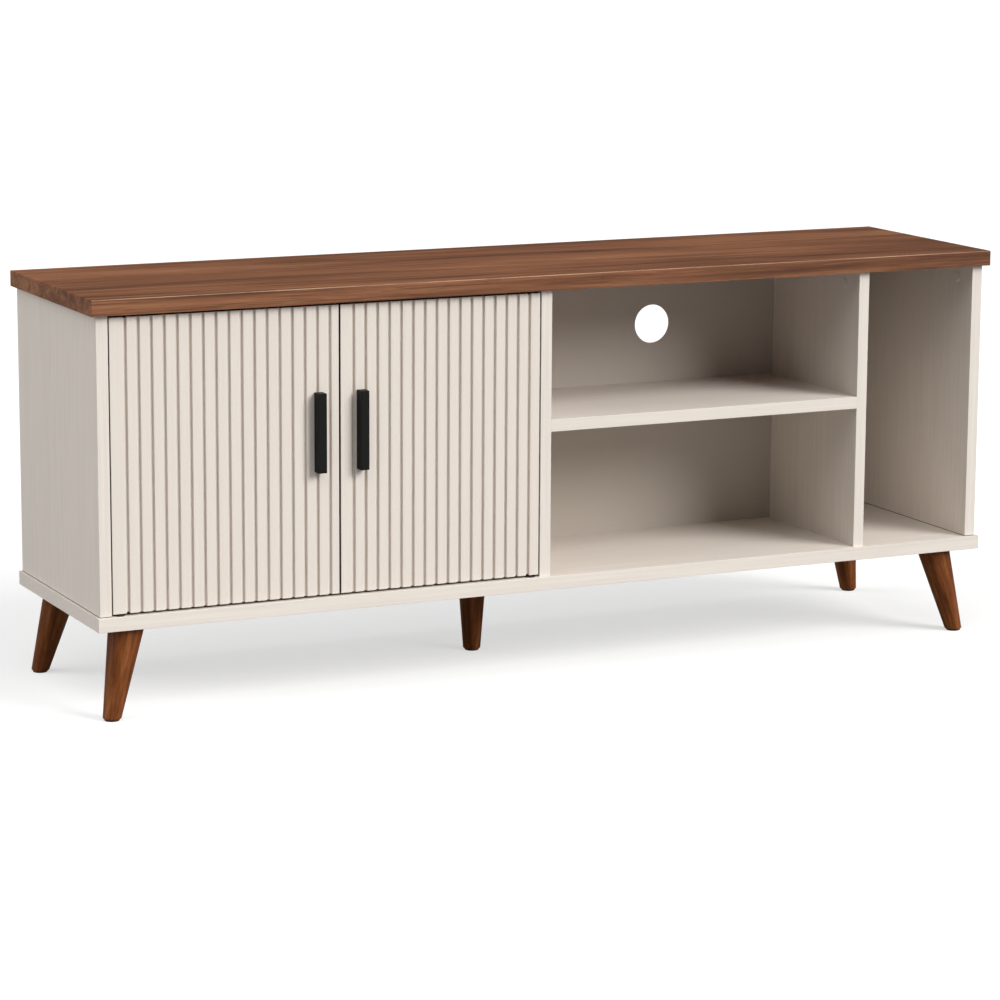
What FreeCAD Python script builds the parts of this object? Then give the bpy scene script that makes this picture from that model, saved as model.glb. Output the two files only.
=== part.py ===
# A low television stand: walnut top, cream carcass, a cabinet with two fluted doors hung on pivot
# pins, an open media bay with a fixed shelf, a tall open bay and five tapered legs.
# Frame: +Z up, the front faces -Y, the origin is on the floor at the centre of the outline.
import FreeCAD, Part
import os
import re
import Sketcher

doc = FreeCAD.newDocument("tv_stand")
Vector = FreeCAD.Vector
Rotation = FreeCAD.Rotation

# ---------------------------------------------------------------- driving dimensions, millimetres
DIMENSIONS = {
    "top_width": 1600, "top_depth": 395, "top_thickness": 25, "top_round": 1.2,
    "carcass_width": 1580, "panel_depth": 382, "panel_height": 467, "panel_thickness": 19,
    "edge_break": 0.5,
    "bottom_width": 1590, "bottom_depth": 392, "bottom_thickness": 22,
    "cabinet_width": 730, "media_width": 571, "media_depth": 285, "media_opening": 236.5,
    "shelf_thickness": 20, "back_thickness": 3, "slot_depth": 6, "slot_width": 3.2,
    "slot_play": 0.5,
    "cable_hole_radius": 33, "cable_hole_across": 332, "cable_hole_up": 356.5,
    "leg_height": 143, "glide_thickness": 3, "glide_radius": 12, "leg_top_radius": 28.4,
    "leg_foot_radius": 14.5, "leg_foot_round": 2, "leg_splay_across": 33, "leg_splay_along": 21,
    "leg_left_inset": 52.5, "leg_right_inset": 64, "leg_front_inset": 30, "leg_back_inset": 46,
    "centre_leg_across": 728, "centre_leg_along": 214, "centre_leg_radius": 25,
    "door_thickness": 18, "door_setback": 0.5, "door_side_gap": 2.2, "door_bottom_gap": 3.4,
    "door_top_gap": 4, "door_middle_gap": 3, "left_door_width": 376.5, "door_round": 0.8,
    "groove_width": 5.2, "groove_depth": 4, "groove_lip": 1.2,
    "left_groove_start": 25.2, "left_groove_pitch": 21, "right_groove_start": 21.9,
    "right_groove_pitch": 20.34,
    "pivot_across": 12, "pivot_along": 6.5, "pin_radius": 2.5, "pin_play": 0.05,
    "bush_radius": 6, "bush_depth": 10, "flange_radius": 9, "flange_thickness": 1.2,
    "handle_length": 126, "handle_width": 14.5, "handle_depth": 17, "handle_inset": 34.5,
    "handle_up": 260.8, "handle_screw_spacing": 96, "handle_round": 0.8,
    "cabinet_shelf_thickness": 16, "cabinet_shelf_up": 226, "cabinet_shelf_front": 42,
    "shelf_pin_radius": 2.5, "shelf_stub_radius": 4, "shelf_pin_front": 80,
    "shelf_pin_back": 320, "shelf_play": 1,
    "cam_radius": 7.5, "cam_depth": 12.5, "cam_back": 24, "cam_along": 48,
    "shelf_dowel_along": 84, "dowel_radius": 4, "dowel_length": 30,
}
sheet = doc.addObject("Spreadsheet::Sheet", "Dims")
for row, (alias, value) in enumerate(DIMENSIONS.items(), start=1):
    sheet.set(f"A{row}", alias.replace("_", " "))
    sheet.set(f"B{row}", str(value))
    sheet.setAlias(f"B{row}", alias)
ALIASES = re.compile(r"\b(" + "|".join(sorted(DIMENSIONS, key=len, reverse=True)) + r")\b")


def formula(text):
    """Turn the plain names in a sum into references to the sheet's cells."""
    return ALIASES.sub(r"Dims.\1", str(text))


def bind(thing, prop, text):
    thing.setExpression(prop, formula(text))


def stand_at(thing, x, y, z):
    for axis, text in zip("xyz", (x, y, z)):
        bind(thing, f".Placement.Base.{axis}", text)


# ------------------------------------------------------------------------- where the planes lie
LEFT = "(-carcass_width / 2)"
RIGHT = "(carcass_width / 2)"
FRONT = "(-(panel_depth + back_thickness - handle_depth + door_setback) / 2)"
FLOOR_BOARD = "(leg_height + bottom_thickness)"
CEILING = f"({FLOOR_BOARD} + panel_height)"
CABINET_LEFT = f"({LEFT} + panel_thickness)"
CABINET_RIGHT = f"({CABINET_LEFT} + cabinet_width)"
MEDIA_LEFT = f"({CABINET_RIGHT} + panel_thickness)"
MEDIA_RIGHT = f"({MEDIA_LEFT} + media_width)"
TALL_LEFT = f"({MEDIA_RIGHT} + panel_thickness)"
TALL_RIGHT = f"({RIGHT} - panel_thickness)"
DOOR_FRONT = f"({FRONT} + door_setback)"
DOOR_BOTTOM = f"({FLOOR_BOARD} + door_bottom_gap)"
DOOR_HEIGHT = "(panel_height - door_bottom_gap - door_top_gap)"
LEFT_DOOR = f"({CABINET_LEFT} + door_side_gap)"
RIGHT_DOOR = f"({LEFT_DOOR} + left_door_width + door_middle_gap)"
RIGHT_DOOR_WIDTH = "(cabinet_width - 2 * door_side_gap - door_middle_gap - left_door_width)"

DIRECTIONS = {
    "+x": Vector(1, 0, 0), "-x": Vector(-1, 0, 0), "+y": Vector(0, 1, 0),
    "-y": Vector(0, -1, 0), "+z": Vector(0, 0, 1), "-z": Vector(0, 0, -1),
}
nodes = []


def turn_towards(thing, direction):
    thing.Placement = FreeCAD.Placement(
        Vector(0, 0, 0), Rotation(Vector(0, 0, 1), DIRECTIONS[direction]))


# --------------------------------------------------------------------------- PartDesign helpers
def new_body(label):
    body = doc.addObject("PartDesign::Body", label)
    nodes.append(body)
    return body


def add_box(body, name, size, at=("0", "0", "0"), kind="Additive"):
    block = body.newObject(f"PartDesign::{kind}Box", name)
    for prop, text in zip(("Length", "Width", "Height"), size):
        bind(block, prop, text)
    stand_at(block, *at)
    return block


def cut_box(body, name, size, at):
    return add_box(body, name, size, at, "Subtractive")


def drill(body, name, radius, depth, mouth, direction):
    """Bore a blind hole from its mouth, going the given way."""
    hole = body.newObject("PartDesign::SubtractiveCylinder", name)
    bind(hole, "Radius", radius)
    bind(hole, "Height", depth)
    turn_towards(hole, direction)
    stand_at(hole, *mouth)
    return hole


def countersink(body, name, mouth, direction):
    sink = body.newObject("PartDesign::SubtractiveCone", name)
    sink.Radius1 = SCREW_HEAD_RADIUS
    sink.Radius2 = SCREW_RADIUS
    sink.Height = SCREW_HEAD_DEPTH
    turn_towards(sink, direction)
    stand_at(sink, *mouth)
    return sink


def soften(body, base, name, wanted, radius):
    """Round the straight edges of the base for which wanted(middle, box) is true."""
    doc.recompute()
    box = base.Shape.BoundBox
    picked = []
    for number, edge in enumerate(base.Shape.Edges, start=1):
        if wanted(edge.CenterOfMass, edge.BoundBox, box):
            picked.append(f"Edge{number}")
    rounded = body.newObject("PartDesign::Fillet", name)
    rounded.Base = (base, picked)
    bind(rounded, "Radius", radius)
    return rounded


def near(first, second):
    return abs(first - second) < 0.01


# ------------------------------------------------------------------------- Part group helpers
def group(label, originals_and_places):
    """Put like pieces in one node: each place is a link to its original."""
    links = []
    for number, (original, direction, place) in enumerate(originals_and_places, start=1):
        link = doc.addObject("App::Link", f"{label}_{number}")
        link.setLink(original)
        link.LinkTransform = True
        turn_towards(link, direction)
        stand_at(link, *place)
        links.append(link)
    node = doc.addObject("Part::Compound", label)
    node.Links = links
    nodes.append(node)
    return node


def rod(name, radius, length, start="0"):
    cylinder = doc.addObject("Part::Cylinder", name)
    bind(cylinder, "Radius", radius)
    bind(cylinder, "Height", length)
    bind(cylinder, ".Placement.Base.z", start)
    return cylinder


def taper(name, first_radius, last_radius, length, start="0"):
    cone = doc.addObject("Part::Cone", name)
    bind(cone, "Radius1", first_radius)
    bind(cone, "Radius2", last_radius)
    bind(cone, "Height", length)
    bind(cone, ".Placement.Base.z", start)
    return cone


def block(name, size, at):
    cuboid = doc.addObject("Part::Box", name)
    for prop, text in zip(("Length", "Width", "Height"), size):
        bind(cuboid, prop, text)
    stand_at(cuboid, *at)
    return cuboid


def joined(name, *pieces):
    whole = doc.addObject("Part::MultiFuse", name)
    whole.Shapes = list(pieces)
    return whole


def less(name, base, *tools):
    whole = doc.addObject("Part::Cut", name)
    whole.Base = base
    whole.Tool = tools[0] if len(tools) == 1 else joined(f"{name}_tools", *tools)
    return whole


# ------------------------------------------------------------- fasteners, and where they sit
FIT = 0.05
ROOM = 1
SCREW_RADIUS = 1.5
SCREW_HEAD_RADIUS = 3
SCREW_HEAD_DEPTH = 1.8
SCREW_LENGTH = 14
CONFIRMAT_RADIUS = 3.5
CONFIRMAT_HEAD_RADIUS = 5
CONFIRMAT_HEAD_DEPTH = 4
CONFIRMAT_THREAD_RADIUS = 2.5
CONFIRMAT_LENGTH = 52
CONFIRMAT_SINK = 1
BOLT_THREAD_RADIUS = 2.5
BOLT_THREAD_LENGTH = 11
BOLT_SHANK_RADIUS = 3
BOLT_HOLE_RADIUS = 4
BOLT_HOLE_LENGTH = "(cam_back + 3)"
CONFIRMAT_ALONG = 36
DOWEL_ALONG = 96
DOWEL_SHORT_END = "(dowel_length * 0.4)"
DOWEL_LONG_END = "(dowel_length * 0.6)"
BACK_SCREW_INSET = 30
UPRIGHTS = {
    "left_side_panel": (LEFT, "+x"), "cabinet_divider": (CABINET_RIGHT, "-x"),
    "tall_bay_divider": (MEDIA_RIGHT, "-x"), "right_side_panel": (TALL_RIGHT, "-x"),
}
CAM_ROWS = ("cam_along", "(panel_depth - cam_along)")
DOWEL_ROWS = (str(DOWEL_ALONG), f"(panel_depth - {DOWEL_ALONG})")
CONFIRMAT_ROWS = (str(CONFIRMAT_ALONG), f"(panel_depth - {CONFIRMAT_ALONG})")
SHELF_ROWS = ("(cam_along)", "(media_depth - cam_along)")
SHELF_DOWEL_ROWS = ("shelf_dowel_along", "(media_depth - shelf_dowel_along)")
SHELF_PIN_ROWS = ("shelf_pin_front", "shelf_pin_back")
SHELF_PIN_UP = "(cabinet_shelf_up - shelf_stub_radius)"
SHELF_PIN_LENGTH = 8
SHELF_UNDER = f"({FLOOR_BOARD} + media_opening)"
PIVOTS = {
    "left": f"({LEFT_DOOR} + pivot_across)",
    "right": f"({CABINET_RIGHT} - door_side_gap - pivot_across)",
}
PIVOT_ALONG = f"({DOOR_FRONT} + pivot_along)"
LEG_LEFT = f"({LEFT} + leg_left_inset)"
LEG_RIGHT = f"({RIGHT} - leg_right_inset)"
LEG_FRONT = f"({FRONT} + leg_front_inset)"
LEG_BACK = f"({FRONT} + panel_depth + back_thickness - leg_back_inset)"
LEGS = {
    "front_left_leg": (LEG_LEFT, LEG_FRONT, -1, -1),
    "front_right_leg": (LEG_RIGHT, LEG_FRONT, 1, -1),
    "back_left_leg": (LEG_LEFT, LEG_BACK, -1, 1),
    "back_right_leg": (LEG_RIGHT, LEG_BACK, 1, 1),
    "centre_leg": (f"({LEFT} + centre_leg_across)", f"({FRONT} + centre_leg_along)", 0, 0),
}


def upright_middle(label):
    return f"({UPRIGHTS[label][0]} + panel_thickness / 2)"


# --------------------------------------------------------------------------- the top board
top = new_body("top_board")
TOP_LEFT = "(-top_width / 2)"
TOP_FRONT = f"({FRONT} + panel_depth + back_thickness - top_depth)"
stand_at(top, TOP_LEFT, TOP_FRONT, CEILING)
slab = add_box(top, "top_slab", ("top_width", "top_depth", "top_thickness"))
soften(top, slab, "top_arris", lambda middle, edge, box: middle.z > box.ZMin + 1, "top_round")
for label in UPRIGHTS:
    across = f"{upright_middle(label)} - {TOP_LEFT}"
    for number, along in enumerate(CAM_ROWS, start=1):
        drill(top, f"top_bolt_hole_{label}_{number}", BOLT_THREAD_RADIUS, BOLT_THREAD_LENGTH,
              (across, f"{FRONT} + {along} - {TOP_FRONT}", "0"), "+z")
    for number, along in enumerate(DOWEL_ROWS, start=1):
        drill(top, f"top_dowel_hole_{label}_{number}", "dowel_radius", DOWEL_SHORT_END,
              (across, f"{FRONT} + {along} - {TOP_FRONT}", "0"), "+z")
for side, across in PIVOTS.items():
    drill(top, f"top_bush_hole_{side}", "bush_radius", "bush_depth",
          (f"{across} - {TOP_LEFT}", f"{PIVOT_ALONG} - {TOP_FRONT}", "0"), "+z")

# ------------------------------------------------------------------------ the bottom board
bottom = new_body("bottom_board")
BOTTOM_LEFT = "(-bottom_width / 2)"
BOTTOM_FRONT = f"({FRONT} + panel_depth + back_thickness - bottom_depth)"
stand_at(bottom, BOTTOM_LEFT, BOTTOM_FRONT, "leg_height")
slab = add_box(bottom, "bottom_slab", ("bottom_width", "bottom_depth", "bottom_thickness"))
soften(bottom, slab, "bottom_arris",
       lambda middle, edge, box: near(middle.y, box.YMin) or near(middle.x, box.XMin)
       or near(middle.x, box.XMax), "edge_break")
for label in UPRIGHTS:
    across = f"{upright_middle(label)} - {BOTTOM_LEFT}"
    for number, along in enumerate(CONFIRMAT_ROWS, start=1):
        place = (across, f"{FRONT} + {along} - {BOTTOM_FRONT}", "0")
        drill(bottom, f"screw_clearance_{label}_{number}", CONFIRMAT_RADIUS, "bottom_thickness",
              place, "+z")
        drill(bottom, f"screw_head_seat_{label}_{number}", CONFIRMAT_HEAD_RADIUS,
              CONFIRMAT_HEAD_DEPTH + CONFIRMAT_SINK, place, "+z")
    for number, along in enumerate(DOWEL_ROWS, start=1):
        drill(bottom, f"bottom_dowel_hole_{label}_{number}", "dowel_radius", DOWEL_SHORT_END,
              (across, f"{FRONT} + {along} - {BOTTOM_FRONT}", "bottom_thickness"), "-z")
for side, across in PIVOTS.items():
    drill(bottom, f"bottom_bush_hole_{side}", "bush_radius", "bush_depth",
          (f"{across} - {BOTTOM_LEFT}", f"{PIVOT_ALONG} - {BOTTOM_FRONT}", "bottom_thickness"), "-z")
INSERT_RADIUS = 6
INSERT_LENGTH = 18
for label, (across, along, _, _) in LEGS.items():
    drill(bottom, f"insert_hole_{label}", INSERT_RADIUS, INSERT_LENGTH,
          (f"{across} - {BOTTOM_LEFT}", f"{along} - {BOTTOM_FRONT}", "0"), "+z")

# ------------------------------------------------------- the four uprights, with their borings
for label, (across, cam_side) in UPRIGHTS.items():
    upright = new_body(label)
    stand_at(upright, across, FRONT, FLOOR_BOARD)
    board = add_box(upright, f"{label}_board", ("panel_thickness", "panel_depth", "panel_height"))
    soften(upright, board, f"{label}_arris",
           lambda middle, edge, box: near(middle.y, box.YMin) and edge.ZLength > 10, "edge_break")
    cam_face = "panel_thickness" if cam_side == "+x" else "0"
    cam_drill = "-x" if cam_side == "+x" else "+x"
    for number, along in enumerate(CAM_ROWS, start=1):
        drill(upright, f"{label}_cam_hole_{number}", "cam_radius", "cam_depth",
              (cam_face, along, "panel_height - cam_back"), cam_drill)
        drill(upright, f"{label}_bolt_hole_{number}", BOLT_HOLE_RADIUS, BOLT_HOLE_LENGTH,
              ("panel_thickness / 2", along, "panel_height"), "-z")
    for number, along in enumerate(DOWEL_ROWS, start=1):
        drill(upright, f"{label}_top_dowel_hole_{number}", "dowel_radius", f"{DOWEL_LONG_END} + {ROOM}",
              ("panel_thickness / 2", along, "panel_height"), "-z")
        drill(upright, f"{label}_bottom_dowel_hole_{number}", "dowel_radius",
              f"{DOWEL_LONG_END} + {ROOM}", ("panel_thickness / 2", along, "0"), "+z")
    for number, along in enumerate(CONFIRMAT_ROWS, start=1):
        drill(upright, f"{label}_screw_hole_{number}", CONFIRMAT_THREAD_RADIUS,
              f"{CONFIRMAT_LENGTH + CONFIRMAT_SINK + ROOM} - bottom_thickness",
              ("panel_thickness / 2", along, "0"), "+z")
    if label in ("cabinet_divider", "tall_bay_divider"):
        media_face = "panel_thickness" if label == "cabinet_divider" else "0"
        into = "-x" if label == "cabinet_divider" else "+x"
        slot_start = "panel_thickness - slot_depth" if label == "cabinet_divider" else "0"
        cut_box(upright, f"{label}_back_slot", ("slot_depth", "slot_width", "panel_height"),
                (slot_start, "media_depth", "0"))
        for number, along in enumerate(SHELF_ROWS, start=1):
            drill(upright, f"{label}_shelf_bolt_hole_{number}", BOLT_THREAD_RADIUS,
                  BOLT_THREAD_LENGTH, (media_face, along, "media_opening + shelf_thickness / 2"),
                  into)
        for number, along in enumerate(SHELF_DOWEL_ROWS, start=1):
            drill(upright, f"{label}_shelf_dowel_hole_{number}", "dowel_radius",
                  DOWEL_SHORT_END, (media_face, along, "media_opening + shelf_thickness / 2"),
                  into)
    if label in ("left_side_panel", "cabinet_divider"):
        pin_face = "panel_thickness" if label == "left_side_panel" else "0"
        pin_into = "-x" if label == "left_side_panel" else "+x"
        for number, along in enumerate(SHELF_PIN_ROWS, start=1):
            drill(upright, f"{label}_shelf_pin_hole_{number}", "shelf_pin_radius",
                  SHELF_PIN_LENGTH + ROOM, (pin_face, along, SHELF_PIN_UP), pin_into)

# ------------------------------------------------------------------------- the media shelf
shelf = new_body("media_shelf")
stand_at(shelf, MEDIA_LEFT, FRONT, SHELF_UNDER)
board = add_box(shelf, "media_shelf_board", ("media_width", "media_depth", "shelf_thickness"))
soften(shelf, board, "media_shelf_arris",
       lambda middle, edge, box: near(middle.y, box.YMin) and edge.XLength > 10, "edge_break")
SHELF_ENDS = {
    "left": ("0", "+x", "cam_back"), "right": ("media_width", "-x", "media_width - cam_back"),
}
for end, (face, way, cam_at) in SHELF_ENDS.items():
    for number, along in enumerate(SHELF_ROWS, start=1):
        drill(shelf, f"shelf_cam_hole_{end}_{number}", "cam_radius", "cam_depth",
              (cam_at, along, "0"), "+z")
        drill(shelf, f"shelf_bolt_hole_{end}_{number}", BOLT_HOLE_RADIUS, BOLT_HOLE_LENGTH,
              (face, along, "shelf_thickness / 2"), way)
    for number, along in enumerate(SHELF_DOWEL_ROWS, start=1):
        drill(shelf, f"shelf_dowel_hole_{end}_{number}", "dowel_radius", f"{DOWEL_LONG_END} + {ROOM}",
              (face, along, "shelf_thickness / 2"), way)

# ------------------------------------------- the loose shelf in the cabinet, on four steel pins
inner_shelf = new_body("cabinet_shelf")
stand_at(inner_shelf, f"{CABINET_LEFT} + shelf_play", f"{FRONT} + cabinet_shelf_front",
         f"{FLOOR_BOARD} + cabinet_shelf_up")
board = add_box(inner_shelf, "cabinet_shelf_board",
                ("cabinet_width - 2 * shelf_play", "panel_depth - cabinet_shelf_front - shelf_play",
                 "cabinet_shelf_thickness"))
soften(inner_shelf, board, "cabinet_shelf_arris",
       lambda middle, edge, box: near(middle.y, box.YMin) and edge.XLength > 10, "edge_break")

# ------------------------------------------------------------------------------ back panels
media_back = new_body("media_back_panel")
stand_at(media_back, f"{MEDIA_LEFT} - slot_depth + slot_play",
         f"{FRONT} + media_depth + (slot_width - back_thickness) / 2", FLOOR_BOARD)
add_box(media_back, "media_back_sheet",
        ("media_width + 2 * (slot_depth - slot_play)", "back_thickness", "panel_height"))
drill(media_back, "cable_hole", "cable_hole_radius", "back_thickness",
      ("cable_hole_across + slot_depth - slot_play", "0", "cable_hole_up"), "+y")
BACK_SCREW_ROWS = (str(BACK_SCREW_INSET), "panel_height * 0.36", "panel_height * 0.64",
                   f"panel_height - {BACK_SCREW_INSET}")
BACK_EDGE = 1
BACK_SPANS = {
    "cabinet_back_panel": (f"({LEFT} + {BACK_EDGE})",
                           f"({CABINET_RIGHT} + panel_thickness - {BACK_EDGE})",
                           ("left_side_panel", "cabinet_divider")),
    "tall_bay_back_panel": (f"({MEDIA_RIGHT} + {BACK_EDGE})", f"({RIGHT} - {BACK_EDGE})",
                            ("tall_bay_divider", "right_side_panel")),
}
screw_places = []
for label, (start, end, edges) in BACK_SPANS.items():
    back = new_body(label)
    stand_at(back, start, f"{FRONT} + panel_depth", FLOOR_BOARD)
    add_box(back, f"{label}_sheet", (f"{end} - {start}", "back_thickness", "panel_height"))
    for edge in edges:
        for number, up in enumerate(BACK_SCREW_ROWS, start=1):
            across = upright_middle(edge)
            drill(back, f"{label}_screw_hole_{edge}_{number}", SCREW_RADIUS, "back_thickness",
                  (f"{across} - {start}", "back_thickness", up), "-y")
            countersink(back, f"{label}_countersink_{edge}_{number}",
                        (f"{across} - {start}", "back_thickness", up), "-y")
            screw_places.append((across, f"{FRONT} + panel_depth + back_thickness",
                                 f"{FLOOR_BOARD} + {up}"))
for label in UPRIGHTS:
    upright = doc.getObject(label)
    for number, up in enumerate(BACK_SCREW_ROWS, start=1):
        drill(upright, f"{label}_back_screw_hole_{number}", SCREW_RADIUS,
              f"{SCREW_LENGTH + ROOM} - back_thickness",
              ("panel_thickness / 2", "panel_depth", up), "-y")

# -------------------------------------------------------------------------- the fluted doors
PLATE_LENGTH = 34
PLATE_WIDTH = 12
PLATE_THICKNESS = 2
PLATE_FRONT = 3.8
PLATE_MIDDLE = PLATE_FRONT + PLATE_WIDTH / 2
PLATE_BEYOND_PIN = 8
PLATE_SCREW_REACH = 10
PLATE_SCREW_SPACING = 11
PLATE_SCREW_LENGTH = 15
HANDLE_SCREW_RADIUS = 2
HANDLE_SCREW_PLAY = 0.5
LEFT_GROOVES = 17
RIGHT_GROOVES = 16


def origin_plane(body, role):
    for plane in body.Origin.OriginFeatures:
        if plane.Role == role:
            return plane
    raise LookupError(role)


def flute(body, name, start):
    """Sketch one groove's section at the door's bottom edge, with rounded lips."""
    sketch = body.newObject("Sketcher::SketchObject", name)
    sketch.AttachmentSupport = (origin_plane(body, "XY_Plane"), [""])
    sketch.MapMode = "FlatFace"
    half = DIMENSIONS["groove_width"] / 2
    lip = DIMENSIONS["groove_lip"]
    deep = DIMENSIONS["groove_depth"]
    middle = DIMENSIONS[start]
    left_lip = Part.ArcOfCircle(
        Part.Circle(Vector(middle - half - lip, lip, 0), Vector(0, 0, 1), lip), -1.5707963, 0)
    right_lip = Part.ArcOfCircle(
        Part.Circle(Vector(middle + half + lip, lip, 0), Vector(0, 0, 1), lip), 3.1415927, 4.712389)
    corners = [
        Vector(middle - half, lip, 0), Vector(middle - half, deep, 0),
        Vector(middle + half, deep, 0), Vector(middle + half, lip, 0),
        Vector(middle + half + lip, 0, 0), Vector(middle - half - lip, 0, 0),
    ]
    left_wall = sketch.addGeometry(Part.LineSegment(corners[0], corners[1]))
    floor = sketch.addGeometry(Part.LineSegment(corners[1], corners[2]))
    right_wall = sketch.addGeometry(Part.LineSegment(corners[2], corners[3]))
    mouth = sketch.addGeometry(Part.LineSegment(corners[4], corners[5]))
    left_arc = sketch.addGeometry(left_lip)
    right_arc = sketch.addGeometry(right_lip)
    meet = [
        (left_wall, 2, floor, 1), (floor, 2, right_wall, 1), (right_wall, 2, right_arc, 1),
        (right_arc, 2, mouth, 1), (mouth, 2, left_arc, 1), (left_arc, 2, left_wall, 1),
    ]
    for first, first_end, second, second_end in meet:
        sketch.addConstraint(
            Sketcher.Constraint("Coincident", first, first_end, second, second_end))
    sketch.addConstraint(Sketcher.Constraint("Vertical", left_wall))
    sketch.addConstraint(Sketcher.Constraint("Vertical", right_wall))
    sketch.addConstraint(Sketcher.Constraint("Horizontal", floor))
    sketch.addConstraint(Sketcher.Constraint("PointOnObject", mouth, 1, -1))
    sketch.addConstraint(Sketcher.Constraint("PointOnObject", mouth, 2, -1))
    sketch.addConstraint(Sketcher.Constraint("Equal", left_arc, right_arc))
    driven = (
        ("DistanceX", (floor, 1, floor, 2), half * 2, "groove_width"),
        ("DistanceY", (-1, 1, floor, 1), deep, "groove_depth"),
        ("DistanceX", (-1, 1, floor, 1), middle - half, f"{start} - groove_width / 2"),
        ("Radius", (left_arc,), lip, "groove_lip"),
        ("DistanceX", (mouth, 2, floor, 1), lip, "groove_lip"),
        ("DistanceX", (floor, 2, mouth, 1), lip, "groove_lip"),
    )
    for kind, where, value, text in driven:
        number = sketch.addConstraint(Sketcher.Constraint(kind, *where, value))
        bind(sketch, f"Constraints[{number}]", text)
    return sketch


def fluted_door(side, across, width, groove_start, groove_pitch, groove_count, hinge_across):
    door = new_body(f"{side}_door")
    stand_at(door, across, DOOR_FRONT, DOOR_BOTTOM)
    board = add_box(door, f"{side}_door_board", (width, "door_thickness", DOOR_HEIGHT))
    soften(door, board, f"{side}_door_arris",
           lambda middle, edge, box: near(middle.y, box.YMin), "door_round")
    sketch = flute(door, f"{side}_flute_sketch", groove_start)
    doc.recompute()
    whole = door.Shape.Volume
    groove = door.newObject("PartDesign::Pocket", f"{side}_flute")
    groove.Profile = sketch
    groove.Type = 1
    groove.Reversed = True
    doc.recompute()
    if door.Shape.Volume > whole - 100:
        raise RuntimeError("the flute cuts nothing")
    row = door.newObject("PartDesign::LinearPattern", f"{side}_flutes")
    row.Originals = [groove]
    row.Direction = (sketch, ["H_Axis"])
    bind(row, "Length", f"{groove_pitch} * {groove_count - 1}")
    row.Occurrences = groove_count
    door.Tip = row
    for end, up, into in (("bottom", "0", "+z"), ("top", DOOR_HEIGHT, "-z")):
        seat_up = "0" if end == "bottom" else f"{DOOR_HEIGHT} - {PLATE_THICKNESS}"
        cut_box(door, f"{side}_door_plate_seat_{end}",
                (str(PLATE_LENGTH), str(PLATE_WIDTH), str(PLATE_THICKNESS)),
                (f"{hinge_across} - {plate_start(side)}", str(PLATE_FRONT), seat_up))
        for number, reach in enumerate(plate_screws(side), start=1):
            drill(door, f"{side}_door_plate_screw_hole_{end}_{number}", SCREW_RADIUS,
                  PLATE_SCREW_LENGTH + ROOM, (f"{hinge_across} + {reach}", PLATE_MIDDLE, up), into)
    handle_middle = f"{width} - handle_inset" if side == "left" else "handle_inset"
    for number, way in enumerate((-1, 1), start=1):
        up = f"handle_up + {way} * handle_screw_spacing / 2"
        drill(door, f"{side}_door_handle_hole_{number}", HANDLE_SCREW_RADIUS + HANDLE_SCREW_PLAY,
              "door_thickness", (handle_middle, "0", up), "+y")
    return door


def plate_start(side):
    """How far the pivot plate reaches to the left of its pin."""
    return PLATE_BEYOND_PIN if side == "left" else PLATE_LENGTH - PLATE_BEYOND_PIN


def plate_screws(side):
    reach = (PLATE_SCREW_REACH, PLATE_SCREW_REACH + PLATE_SCREW_SPACING)
    return reach if side == "left" else tuple(-step for step in reach)


fluted_door("left", LEFT_DOOR, "left_door_width", "left_groove_start", "left_groove_pitch",
            LEFT_GROOVES, "pivot_across")
fluted_door("right", RIGHT_DOOR, RIGHT_DOOR_WIDTH, "right_groove_start", "right_groove_pitch",
            RIGHT_GROOVES, f"({RIGHT_DOOR_WIDTH} - pivot_across)")

# ----------------------------------------- bar handles, each one block held by two screws
HANDLE_HEAD_RADIUS = 4
HANDLE_HEAD_DEPTH = 2.4
HANDLE_SCREW_LENGTH = 26
HANDLE_THREAD_DEPTH = 10
CROSS_LENGTH = 5
CROSS_WIDTH = 1
CROSS_DEPTH = 1.2
for side, middle in (("left", f"({LEFT_DOOR} + left_door_width - handle_inset)"),
                     ("right", f"({RIGHT_DOOR} + handle_inset)")):
    handle = new_body(f"{side}_handle")
    stand_at(handle, f"{middle} - handle_width / 2", f"{DOOR_FRONT} - handle_depth",
             f"{DOOR_BOTTOM} + handle_up - handle_length / 2")
    bar = add_box(handle, f"{side}_handle_bar", ("handle_width", "handle_depth", "handle_length"))
    soften(handle, bar, f"{side}_handle_arris",
           lambda point, edge, box: not near(point.y, box.YMax), "handle_round")
    for number, way in enumerate((-1, 1), start=1):
        drill(handle, f"{side}_handle_thread_{number}", HANDLE_SCREW_RADIUS, HANDLE_THREAD_DEPTH,
              ("handle_width / 2", "handle_depth",
               f"handle_length / 2 + {way} * handle_screw_spacing / 2"), "-y")
    screw = joined(f"{side}_handle_screw",
                   rod(f"{side}_handle_shank", HANDLE_SCREW_RADIUS - FIT, HANDLE_SCREW_LENGTH),
                   taper(f"{side}_handle_head", HANDLE_HEAD_RADIUS - 1, HANDLE_HEAD_RADIUS,
                         HANDLE_HEAD_DEPTH, f"-{HANDLE_HEAD_DEPTH}"))
    cross_arms = [
        block(f"{side}_handle_cross_{name}", (long, wide, CROSS_DEPTH),
              (-long / 2, -wide / 2, -HANDLE_HEAD_DEPTH))
        for name, long, wide in (("across", CROSS_LENGTH, CROSS_WIDTH),
                                 ("along", CROSS_WIDTH, CROSS_LENGTH))]
    finished = less(f"{side}_handle_screw_part", screw, *cross_arms)
    group(f"{side}_handle_screws", [
        (finished, "-y", (middle, f"{DOOR_FRONT} + door_thickness",
                          f"{DOOR_BOTTOM} + handle_up + {way} * handle_screw_spacing / 2"))
        for way in (-1, 1)])

# --------------------------------- pivot pins on plates let into the doors' ends, and their bushes
SMALL_CROSS_LENGTH = 3.4
SMALL_CROSS_WIDTH = 0.7


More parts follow.
